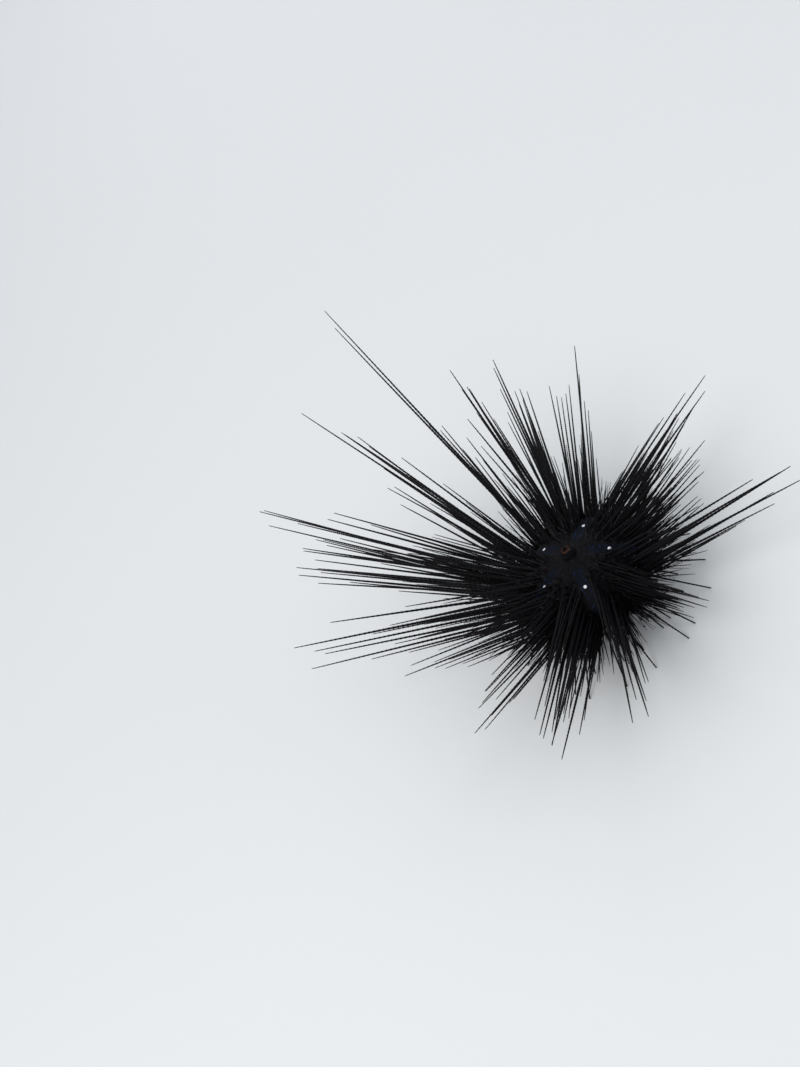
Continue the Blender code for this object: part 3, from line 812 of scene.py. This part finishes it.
def from_midline(azimuth):
    """Degrees to the nearest interambulacral midline."""
    return np.abs((azimuth - SECTORS[0][1] + FIFTH / 2) % FIFTH - FIFTH / 2)


def naked(polar, azimuth):
    """True on the bare bands that run down the interambulacral midlines from the crown."""
    off = TEST_RADIUS * np.sin(np.radians(polar)) * np.sin(np.radians(from_midline(azimuth)))
    return (polar < BARE_END) & (off < BARE_WIDTH)


def nearest_bundles(azimuth):
    """For each azimuth the number of the bundle, two to a sector, whose spines stand nearest to it."""
    middles = [sector[1] + side * (9.0 if is_wide(sector) else 5.0) for sector in SECTORS for side in (-1, 1)]
    return np.abs((azimuth[:, None] - np.array(middles) + 180.0) % 360.0 - 180.0).argmin(1)


def bundle_way(polar, azimuth, loose):
    """The way small spines point: with the nearest bundle, and more along the test's normal the looser."""
    ways = np.empty((len(polar), 3))
    near = nearest_bundles(azimuth)
    loose = np.broadcast_to(loose, len(polar))[:, None]
    for number, (bundle, times) in enumerate(BUNDLES):
        own = near == number
        ways[own] = bundled(polar[own], azimuth[own], bundle, times, loose[own])
    return unit(ways)


def field(count, first, last, looseness, stray, draw):
    """Places scattered between two polar angles, off the bare bands, and a spine's way at each.

    looseness is what bundle_way takes at 85 and at 124 degrees. stray is the ways' random part.
    """
    polar, azimuth = scattered(count, first, last, draw)
    kept = ~naked(polar, azimuth)
    polar, azimuth = polar[kept], azimuth[kept]
    ways = bundle_way(polar, azimuth, np.interp(polar, (85, 124), looseness))
    return polar, azimuth, unit(ways + draw.normal(0, stray, ways.shape))


def add_tapers(bunch, polar, azimuth, ways, lengths, root, tip, rings, sides, bow=0.01, saw=0.0):
    """Plain tapers rooted in the test: radius falls from root to tip along t to the power 0.9."""
    t = shares(len(lengths), rings)
    walked = (lengths[:, None] + SUNK) * t - SUNK
    thick = bunch.draw.uniform(0.85, 1.12, (len(lengths), 1))
    radii = (tip + (root - tip) * (1 - t ** 0.9)) * thick
    radii = radii * (1 + saw * np.where(np.arange(rings) % 2 == 0, -1, 1))
    sag = bent(sideways(ways, bunch.draw), bow * lengths[:, None] * t * t)
    bunch.add(polar, azimuth, ways, walked, radii, sides, sag)


def metres(name, description, value):
    return bpy.props.FloatProperty(name=name, description=description, default=value, subtype="DISTANCE")


def factor(name, description, value):
    return bpy.props.FloatProperty(name=name, description=description, default=value, subtype="FACTOR")


def whole(name, description, value):
    return bpy.props.IntProperty(name=name, description=description, default=value)


def plain(name, description, value):
    return bpy.props.FloatProperty(name=name, description=description, default=value)


def rgb(name, description, value):
    return bpy.props.FloatVectorProperty(
        name=name, description=description, default=value, size=3, min=0.0, max=1.0, subtype="COLOR"
    )


class BodyShape(bpy.types.PropertyGroup):
    around: whole("Points round", "Skin points round the axis", 400)
    along: whole("Points along", "Skin points from vent to mouth", 236)
    boss_height: metres("Boss height", "Rise of the knob under each long spine", 0.0009)
    boss_radius: metres("Boss radius", "Radius of the knob under each long spine", 0.0016)


class SpineStyle(bpy.types.PropertyGroup):
    root_radius: metres("Root radius", "Radius of a long spine above its collar", 0.00094)
    tip_radius: metres("Tip radius", "Radius of a long spine at its tip", 0.00019)
    foot_radius: metres("Foot radius", "Radius of the spines it stands on", 0.00062)
    whorl_spacing: metres("Whorl spacing", "Distance between whorls of thorns", 0.0015)
    middle_spacing: metres("Middle spacing", "The same on the middle spines", 0.0019)
    barb_depth: factor("Saw depth", "How much each whorl draws in at its foot", 0.12)
    thorn: factor("Thorn", "How far a thorn stands off, as a share of the radius", 0.34)
    bow: factor("Bow", "Bend over the length", 0.006)
    middle_count: whole("Middle spines", "Spines of middle length", 420)
    short_count: whole("Short spines", "Secondary spines", 760)
    tiny_count: whole("Tiny spines", "Miliary spines", 2600)


class Palette(bpy.types.PropertyGroup):
    skin: rgb("Skin", "Black of the skin", (0.0022, 0.0022, 0.0032))
    skin_warm: rgb("Skin, warm", "Purplish blotches", (0.0038, 0.0027, 0.0037))
    naked: rgb("Bare bands", "Bluish black between the spine fields", (0.0016, 0.0026, 0.0062))
    beads: rgb("Beads", "Iridescent dots along the bare bands", (0.020, 0.090, 0.300))
    spots: rgb("Spots", "White spots", (0.72, 0.72, 0.76))
    specks: rgb("Specks", "Pale specks on the vent's cone", (0.25, 0.22, 0.20))
    vent_ring: rgb("Vent ring", "Dull ring round the vent", (0.050, 0.017, 0.008))
    mouth: rgb("Mouth skin", "Brown skin round the mouth", (0.050, 0.026, 0.022))
    spine: rgb("Spine", "Black of the spines", (0.0026, 0.0026, 0.0036))
    spine_tip: rgb("Spine tip", "Brown-black of the tips", (0.0090, 0.0070, 0.0072))
    spine_sheen: rgb("Spine tone", "Purplish tone of some spines", (0.0080, 0.0052, 0.0096))
    # Painted shade for grooves: between a spine's fine rings, and in the crown's plate seams and pores
    groove_shade: rgb("Spine groove", "Between the whorls", (0.0016, 0.0015, 0.0022))
    foot: rgb("Tube foot", "Stalks of the tube feet", (0.010, 0.006, 0.009))
    foot_tip: rgb("Tube foot tip", "Suckers", (0.028, 0.017, 0.019))
    gill: rgb("Gill", "Gill filaments", (0.042, 0.020, 0.020))
    tooth: rgb("Tooth", "Ivory", (0.62, 0.58, 0.48))
    tooth_root: rgb("Tooth root", "Browned ivory", (0.30, 0.23, 0.14))
    floor: rgb("Floor", "Pale floor", (0.66, 0.67, 0.68))
    floor_shade: rgb("Floor shade", "Second tone of the floor", (0.61, 0.62, 0.64))


class Studio(bpy.types.PropertyGroup):
    distance: metres("Camera distance", "From the body", 1.0)
    elevation: plain("Camera elevation", "Above the floor, in degrees", 47.0)
    key_power: plain("Key light", "Power in watts", 13.0)
    fill_power: plain("Fill light", "Power in watts", 5.0)
    world_strength: plain("World", "Strength of the even light", 0.7)


def skin_relief(points, polar, azimuth):
    """How far the skin without its bosses stands out from the smooth outline, in metres, at grids of places.

    The seams between sectors and between plates are grooves, the bare bands are sunk, and a few sine waves
    crossed at odd angles make it uneven. Sine waves round and across the mouth wrinkle its skin.
    """
    radius = np.linalg.norm((points - AXIS)[..., :2], axis=-1)
    off = from_midline(azimuth)
    on_test = np.clip((polar - 9) / 4, 0, 1) * np.clip((152 - polar) / 4, 0, 1)
    seam = radius * np.radians(np.abs(off - INTERAMBULACRUM_WIDTH / 2))
    relief = -SEAM_DEPTH * np.exp(-((seam / SEAM_WIDTH) ** 2)) * on_test
    middle_off = radius * np.sin(np.radians(off))
    sunk = np.exp(-((middle_off / BAND_WIDTH) ** 4)) * np.clip((BARE_END - polar) / 12, 0, 1) * on_test
    relief -= BAND_DEPTH * sunk
    slant = np.where(off < INTERAMBULACRUM_WIDTH / 2, off * 0.10, off * 0.2)
    plates = np.cos(np.radians(polar * 40.0) + slant)
    relief -= PLATE_DEPTH * np.clip(plates - 0.75, 0, 1) * 4 * on_test
    x, y, z = np.moveaxis(points * 1000.0, -1, 0)
    waves = np.sin(1.9 * x + 1.1 * z) * np.sin(1.7 * y - 0.9 * z)
    waves += np.sin(2.9 * z + 0.8 * x) * np.sin(2.3 * x - y)
    relief += UNEVENNESS * waves
    mouth = np.clip((polar - 153) / 4, 0, 1)
    wrinkle = np.sin(radius * 5200 + 0.9 * np.sin(np.radians(azimuth) * 10))
    wrinkle += 0.7 * np.sin(np.radians(azimuth) * 40)
    relief += WRINKLE_DEPTH * wrinkle * mouth * np.clip((radius - 0.0035) / 0.004, 0, 1)
    return relief


def add_bosses(relief, points, roots, rows, height, radius):
    """Raises a boss at each root of a long spine, working only on the rows of the grid near it.

    At distance d it is h exp(-(d / r)^2), inside a ring 0.3 h deep that lies 1.9 r away.
    """
    reach = 3.2 * radius
    for root, row in zip(roots, rows):
        near = slice(max(0, row - 20), row + 21)
        d = np.linalg.norm(points[near] - root, axis=-1)
        boss = np.exp(-((d / radius) ** 2)) - 0.30 * np.exp(-(((d - 1.9 * radius) / (0.6 * radius)) ** 2))
        relief[near] += np.where(d < reach, height * boss, 0.0)


class URCHIN_OT_skin(bpy.types.Operator):
    """Makes the skin: the outline turned about the axis, with bosses, seams, bare bands and mouth wrinkles"""

    bl_idname = "urchin.skin"
    bl_label = "Skin"

    def execute(self, context):
        shape = context.scene.urchin_body
        outline = skin_profile()
        share = np.interp(np.linspace(0, 1, shape.along), *ROW_SHARES)
        even = np.linspace(0, 1, OUTLINE_POINTS)
        radius, level = (np.interp(share, even, outline[:, i]) for i in (0, 1))
        slope = unit(np.gradient(np.stack((radius, level), -1), axis=0))[:, None, :, None]
        azimuth = np.arange(shape.around) * 360.0 / shape.around
        out, up = aims(azimuth, 0.0), np.array((0.0, 0.0, 1.0))
        points = radius[:, None, None] * out + level[:, None, None] * up + AXIS
        normals = slope[:, :, 0] * up - slope[:, :, 1] * out
        squat = (level - WIDEST_LEVEL) * TEST_RADIUS / np.where(level > WIDEST_LEVEL, CROWN_RISE, BASE_DROP)
        polar = np.degrees(np.arctan2(radius, squat))
        inside = (level > WIDEST_LEVEL) & (radius < INSIDE_RADIUS)
        polar[inside] = np.minimum(polar[inside], 8.0)
        relief = skin_relief(points, polar[:, None], azimuth)
        for spines in layout():
            roots = test_points(spines["polar"], spines["azimuth"])
            rows = np.searchsorted(share, profile_share(spines["polar"]))
            add_bosses(relief, points, roots, rows, shape.boss_height, shape.boss_radius)
        # From the mouth up, so that the faces point outwards
        points = (points + normals * relief[..., None])[::-1]
        ends = points[[0, -1]].mean(1)
        points = np.concatenate((points[1:-1].reshape(-1, 3), ends))
        faces, maps = tube_faces(share[::-1], shape.around)
        # Each quad starts at its last corner, which sets the line that splits it
        faces[0], maps[0] = (np.roll(corners, 1, axis=1) for corners in (faces[0], maps[0]))
        names = [sector[0] for sector in SECTORS] + ["apical_disc", "anal_cone", "peristome"]
        material = skin_finish(context.scene.urchin_palette)
        new_piece("skin", points, faces, maps, {}, material, "skin", *names)
        return {"FINISHED"}


class URCHIN_OT_long_spines(bpy.types.Operator):
    """Makes the long spines and the short ones it stands on, one piece for each sector of the body"""

    bl_idname = "urchin.long_spines"
    bl_label = "Long spines"

    def execute(self, context):
        style = context.scene.urchin_spines
        material = spine_finish(context.scene.urchin_palette, "urchin_long_spines", 0.36)
        for number, spines in enumerate(layout()):
            bunch = Bunch(draws("long", number))
            add_long_spines(bunch, spines, style, 8, style.whorl_spacing)
            name = SECTORS[number][0]
            bunch.piece(name + "_spines", material, "spines", name)
        return {"FINISHED"}


class URCHIN_OT_short_spines(bpy.types.Operator):
    """Makes the middle, short and tiny spines that fill in between the long ones"""

    bl_idname = "urchin.short_spines"
    bl_label = "Short and tiny spines"

    def execute(self, context):
        style = context.scene.urchin_spines
        material = spine_finish(context.scene.urchin_palette, "urchin_short_spines", 0.40)
        draw = draws("middle")
        polar, azimuth, ways = field(style.middle_count, 34.0, 124.0, (0.12, 0.72), 0.04, draw)
        reaches = np.array([bundle[2] for bundle, _ in BUNDLES])[nearest_bundles(azimuth)]
        lengths = np.interp(polar, *MIDDLE_LENGTHS)
        lengths = lengths * draw.uniform(0.7, 1.25, len(polar)) * reaches / reaches.mean()
        lengths = above_floor(polar, azimuth, ways, lengths)
        middle = {"polar": polar, "azimuth": azimuth, "ways": ways, "lengths": lengths}
        middle["foot"] = np.zeros(len(polar), bool)
        for name, own in (("upper", polar < MIDDLE_SPLIT), ("lower", polar >= MIDDLE_SPLIT)):
            bunch = Bunch(draw)
            spines = {key: values[own] for key, values in middle.items()}
            add_long_spines(bunch, spines, style, 6, style.middle_spacing)
            bunch.piece(name + "_middle_spines", material, "spines")

        bunch = Bunch(draws("short"))
        polar, azimuth, ways = field(style.short_count, 24.0, 148.0, (0.65, 0.65), 0.13, bunch.draw)
        lengths = np.interp(polar, *SHORT_LENGTHS) * bunch.draw.uniform(0.55, 1.12, len(polar))
        lengths = above_floor(polar, azimuth, ways, lengths)
        add_tapers(
            bunch, polar, azimuth, ways, lengths,
            root=0.00042, tip=0.00010, rings=22, sides=5, bow=0.02, saw=0.06,
        )
        bunch.piece("short_spines", material, "spines")

        bunch = Bunch(draws("tiny"))
        polar, azimuth, ways = field(style.tiny_count, 10.5, 151.0, (0.85, 0.85), 0.22, bunch.draw)
        lengths = np.interp(polar, *TINY_LENGTHS) * bunch.draw.uniform(0.6, 1.2, len(polar))
        add_tapers(
            bunch, polar, azimuth, ways, lengths, root=0.00022, tip=0.00007, rings=5, sides=4, bow=0.04
        )
        bunch.piece("tiny_spines", material, "spines")
        return {"FINISHED"}


class URCHIN_OT_soft_parts(bpy.types.Operator):
    """Makes the tube feet in their double rows, and the stalked pincers between the spines"""

    bl_idname = "urchin.soft_parts"
    bl_label = "Tube feet and pincers"

    def execute(self, context):
        draw = draws("tube_feet")
        bunch = Bunch(draw)
        material = soft_finish(context.scene.urchin_palette, "urchin_tube_feet", "foot", "foot_tip", 0.42)
        middles = np.array([sector[1] for sector in SECTORS if not is_wide(sector)])
        azimuth = np.repeat((middles[:, None] + FOOT_COLUMNS).ravel(), FEET_IN_COLUMN)
        count, rings = len(azimuth), 12
        polar = np.tile(np.linspace(24.0, 150.0, FEET_IN_COLUMN), count // FEET_IN_COLUMN)
        polar = polar + draw.uniform(-1.6, 1.6, count)
        ways = unit(bundle_way(polar, azimuth, 0.8) + draw.normal(0, 0.2, (count, 3)))
        lengths = np.interp(polar, *FOOT_LENGTHS) * draw.uniform(0.5, 1.2, count)
        lengths = above_floor(polar, azimuth, ways, lengths, 0.0016)[:, None]
        # A foot under the widest level ends in a sucker, and one above it comes to a point
        t = shares(count, rings)
        slim = 0.00030 - 0.00012 * t
        below = (polar > 92.0)[:, None]
        radii = np.where(below & (t > 0.93), 0.00055, slim * np.where(below, 1.0, 1.1 - t * 0.7))
        lean = sideways(ways, draw)
        sag = bent(lean, draw.uniform(0.02, 0.16, (count, 1)) * lengths * np.sin(t * 2.4) * t)
        bunch.add(polar, azimuth, ways, (lengths + FOOT_SUNK) * t - FOOT_SUNK, radii, 7, sag)
        bunch.piece("tube_feet", material, "skin")

        draw = draws("pincers")
        bunch = Bunch(draw)
        polar, azimuth = scattered(190, 26.0, 148.0, draw)
        azimuth = (azimuth + 11.0) % 360.0
        count = len(polar)
        ways = unit(test_normals(polar, azimuth) + draw.normal(0, 0.2, (count, 3)))
        lengths = above_floor(polar, azimuth, ways, draw.uniform(0.0035, 0.0075, count), 0.0030)
        add_tapers(bunch, polar, azimuth, ways, lengths, root=0.00014, tip=0.00011, rings=5, sides=5)
        heads = test_points(polar, azimuth) + ways * (lengths[:, None] - 0.0001)
        # Three jaws to a stalk, spread apart
        side = sideways(ways, draw)
        other = np.cross(ways, side)
        steps, radii = (np.tile(values, (count, 1)) for values in np.array(JAW).T)
        for turn in (0.0, 2 * math.pi / 3, 4 * math.pi / 3):
            spread = math.cos(turn) * side + math.sin(turn) * other
            jaws = unit(ways + 0.34 * spread)
            bunch.add(polar, azimuth, jaws, steps, radii, 5, roots=heads + spread * 0.00008)
        bunch.piece("pincers", material, "skin")
        return {"FINISHED"}


def mouth_ring(azimuth, radius, rise):
    """Places on a circle about the axis, at a height above the rim of the mouth skin."""
    rim = WIDEST_LEVEL - BASE_DROP * math.sqrt(1 - (PERISTOME_RADIUS / TEST_RADIUS) ** 2)
    return aims(azimuth, 0.0) * radius + AXIS + (0, 0, rim + rise)


class URCHIN_OT_mouth(bpy.types.Operator):
    """Makes the five teeth, the ten gills and the ten short feet round the mouth"""

    bl_idname = "urchin.mouth"
    bl_label = "Mouth parts"

    def execute(self, context):
        palette = context.scene.urchin_palette
        middles = SECTORS[0][1] + FIFTH * np.arange(5)

        bunch = Bunch()
        t = shares(5, 9)
        radii = 0.00030 + 0.00085 * (1 - t ** 2.2)
        lean = aims(middles, 0.0)
        sag = bent(lean, TOOTH_BEND * np.sin(t * math.pi))
        ways = aims(middles + 180, TOOTH_LIFT)
        roots = mouth_ring(middles, TOOTH_RING, TOOTH_RISE)
        tone = np.linspace(0, 1, 5)
        bunch.add(152.0, middles, ways, TOOTH_LENGTH * t, radii, 8, sag, roots=roots, tone=tone)
        bunch.piece("teeth", tooth_finish(palette), "mouth")

        draw = draws("gills")
        bunch = Bunch(draw)
        azimuth = np.repeat((middles[:, None] + (-16.0, 16.0)).ravel(), GILL_FINGERS)
        turns = np.tile(np.linspace(-34, 34, GILL_FINGERS), 10)
        count = len(azimuth)
        t = shares(count, 6)
        for lift, length in GILL_TIERS:
            roots = mouth_ring(azimuth + turns * 0.10, GILL_RING, GILL_RISE)
            headings = azimuth + turns + draw.normal(0, 5, count)
            ways = aims(headings, lift + draw.normal(0, 6, count))
            walked = length * draw.uniform(0.75, 1.1, (count, 1)) * t
            radii = 0.00034 + 0.00012 * np.sin(t * math.pi) - 0.00014 * t
            bunch.add(151.0, azimuth, ways, walked, radii, 6, roots=roots)
        azimuth = (middles[:, None] + FIFTH / 2 + (-9.0, 9.0)).ravel()
        roots = mouth_ring(azimuth, MOUTH_FOOT_RING, MOUTH_FOOT_RISE)
        ways = aims(azimuth, draw.normal(0, 6, 10) - 72.0)
        t = shares(10, 10)
        radii = np.where(t > 0.86, 0.00105, 0.00062 + 0.00012 * np.cos(t * 20))
        bunch.add(150.0, azimuth, ways, 0.0034 * t, radii, 10, roots=roots)
        material = soft_finish(palette, "urchin_gills", "gill", "foot_tip", 0.45)
        bunch.piece("gills_and_mouth_feet", material, "mouth")
        return {"FINISHED"}


def directions(first, second):
    """A square frame with first as its first direction and second, made square to it, as its second."""
    a = first.normalized()
    b = (second - a * second.dot(a)).normalized()
    return Matrix((a, b, a.cross(b))).transposed()


class URCHIN_OT_stage(bpy.types.Operator):
    """Sets the camera as the photograph has it, the plain floor and the soft lights"""

    bl_idname = "urchin.stage"
    bl_label = "Camera, floor and lights"

    def execute(self, context):
        studio = context.scene.urchin_studio
        e = math.radians(studio.elevation)
        forward = Vector((0, math.cos(e), -math.sin(e)))
        across = (BODY_PIXEL[0] - PHOTO_SIZE[0] / 2) / FOCAL_PIXELS
        down = (BODY_PIXEL[1] - PHOTO_SIZE[1] / 2) / FOCAL_PIXELS
        lean = math.radians(AXIS_LEAN)
        in_camera = directions(Vector((across, -down, -1.0)), Vector((math.cos(lean), math.sin(lean), 0)))
        in_world = directions(forward, Vector((0, 0, 1)))
        turn = (in_world @ in_camera.transposed()).to_4x4()
        target = Vector(AXIS) + Vector((0, 0, BODY_LEVEL))
        data = bpy.data.cameras.new("camera")
        data.sensor_width = SENSOR
        data.lens = FOCAL_PIXELS * SENSOR / max(PHOTO_SIZE)
        data.clip_start = 0.01
        data.clip_end = 20.0
        camera = new_object("camera", data)
        camera.matrix_world = Matrix.Translation(target - forward * studio.distance) @ turn
        context.scene.camera = camera

        floor = bpy.data.meshes.new("floor")
        square = ((-1, -1), (1, -1), (1, 1), (-1, 1))
        corners = [(x * FLOOR_REACH, y * FLOOR_REACH, 0.0) for x, y in square]
        floor.from_pydata(corners, [], [(0, 1, 2, 3)])
        floor.materials.append(floor_finish(context.scene.urchin_palette))
        new_object("floor", floor)

        for name, place, size, power, colour in LIGHTS:
            data = bpy.data.lights.new(name, "AREA")
            data.shape = "DISK"
            data.size = size
            data.energy = getattr(studio, power)
            data.color = colour
            light = new_object(name, data)
            light.location = place
            light.rotation_euler = (target - Vector(place)).to_track_quat("-Z", "Y").to_euler()

        sky = Nodes(bpy.data.worlds.new("studio"))
        height = sky.parts(sky.node("ShaderNodeTexCoord").outputs["Generated"])[2]
        background = sky.tree.nodes["Background"]
        sky.feed(background.inputs[0], sky.mix(SKY_LOW, SKY_HIGH, height * (1 / SKY_TOP)))
        sky.feed(background.inputs[1], studio.world_strength)
        context.scene.world = sky.owner
        context.scene.view_settings.view_transform = "Standard"
        return {"FINISHED"}


class URCHIN_PT_panel(bpy.types.Panel):
    """Lists the steps, and the sizes, colours and lights that a user would change"""

    bl_idname = "URCHIN_PT_panel"
    bl_label = "Sea urchin"
    bl_space_type = "VIEW_3D"
    bl_region_type = "UI"
    bl_category = "Urchin"

    def draw(self, context):
        for operator in OPERATORS:
            self.layout.operator(operator.bl_idname)
        for group in GROUPS:
            box = self.layout.box()
            for name in GROUPS[group].__annotations__:
                box.prop(getattr(context.scene, group), name)


OPERATORS = (
    URCHIN_OT_stage,
    URCHIN_OT_skin,
    URCHIN_OT_long_spines,
    URCHIN_OT_short_spines,
    URCHIN_OT_soft_parts,
    URCHIN_OT_mouth,
)
GROUPS = {
    "urchin_body": BodyShape,
    "urchin_spines": SpineStyle,
    "urchin_palette": Palette,
    "urchin_studio": Studio,
}
CLASSES = (*GROUPS.values(), *OPERATORS, URCHIN_PT_panel)


def register():
    for each in CLASSES:
        bpy.utils.register_class(each)
    for name, group in GROUPS.items():
        setattr(bpy.types.Scene, name, bpy.props.PointerProperty(type=group))


def unregister():
    for name in GROUPS:
        delattr(bpy.types.Scene, name)
    for each in reversed(CLASSES):
        bpy.utils.unregister_class(each)


def main():
    register()
    bpy.ops.urchin.stage()
    bpy.ops.urchin.skin()
    bpy.ops.urchin.long_spines()
    bpy.ops.urchin.short_spines()
    bpy.ops.urchin.soft_parts()
    bpy.ops.urchin.mouth()


if __name__ == "__main__":
    main()
